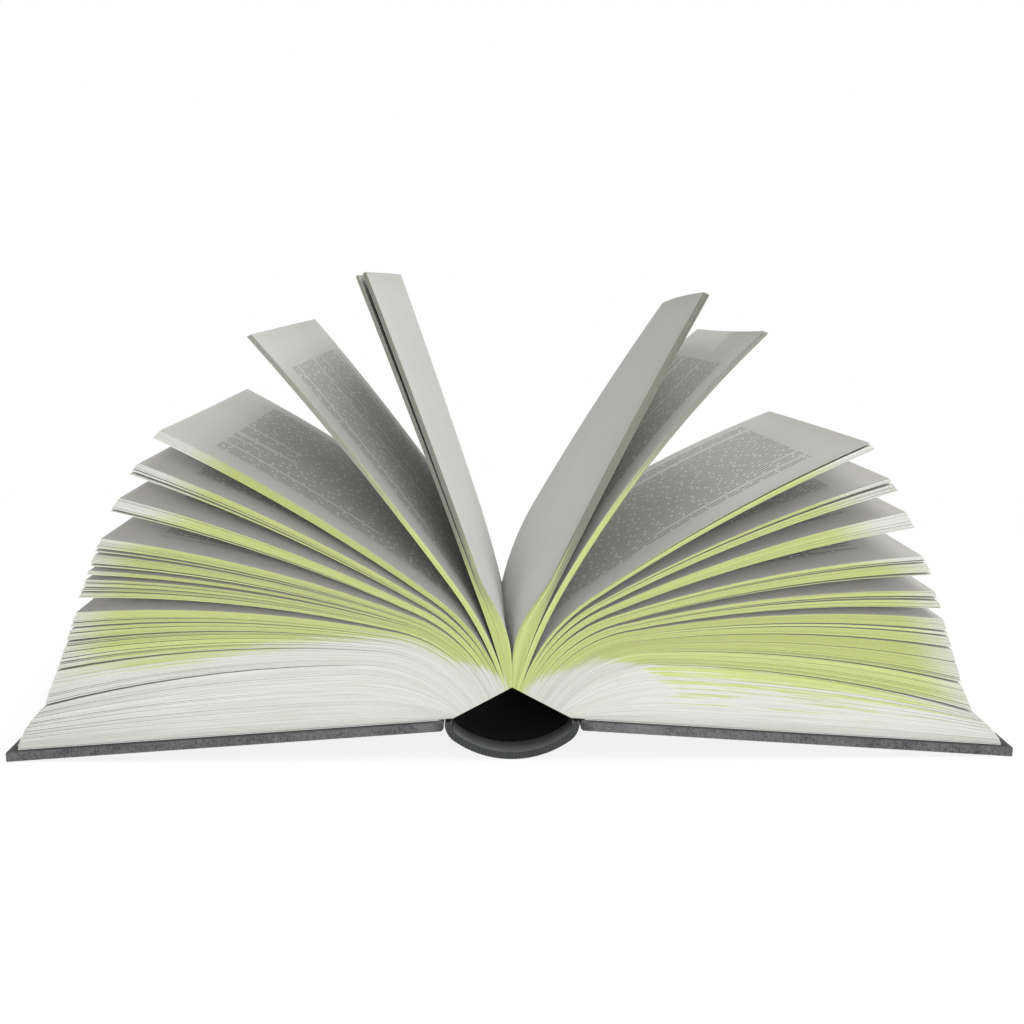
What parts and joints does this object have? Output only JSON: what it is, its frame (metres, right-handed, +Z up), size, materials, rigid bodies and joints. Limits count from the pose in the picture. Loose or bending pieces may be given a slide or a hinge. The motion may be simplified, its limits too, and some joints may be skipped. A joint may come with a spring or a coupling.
{
  "type": "open book",
  "caption": "Thick hardback book lying open on its back, leaves fanned on both sides of the gutter, with a rounded hollow spine and hinged dark cloth covers.",
  "frame": {"origin": "on the table, under the middle of the spine", "axes": "+X across the opening to the right-hand pages, +Y from tail to head, +Z up"},
  "size_m": [0.3606, 0.241, 0.1726],
  "materials": {
    "paper": "matt uncoated",
    "endpaper": "matt uncoated",
    "covering": "dark book cloth",
    "card": "grey board",
    "lining": "open weave, glued"
  },
  "bodies": {
    "book_block": {"text_block": "paper", "spine_lining": "lining", "spine_stiffener": "card", "spine_cloth": "covering"},
    "left_cover": {"left_board": "card", "left_cover_cloth": "covering", "left_pastedown": "endpaper"},
    "right_cover": {"right_board": "card", "right_cover_cloth": "covering", "right_pastedown": "endpaper"}
  },
  "joints": [
    {"name": "left_cover_hinge", "type": "hinge", "parent": "book_block", "child": "left_cover", "pos_m": [-0.02605, 0, 0.01184], "axis": [0, -1, 0], "range_deg": [0, 85]},
    {"name": "right_cover_hinge", "type": "hinge", "parent": "book_block", "child": "right_cover", "pos_m": [0.02605, 0, 0.01184], "axis": [0, 1, 0], "range_deg": [0, 85]}
  ]
}
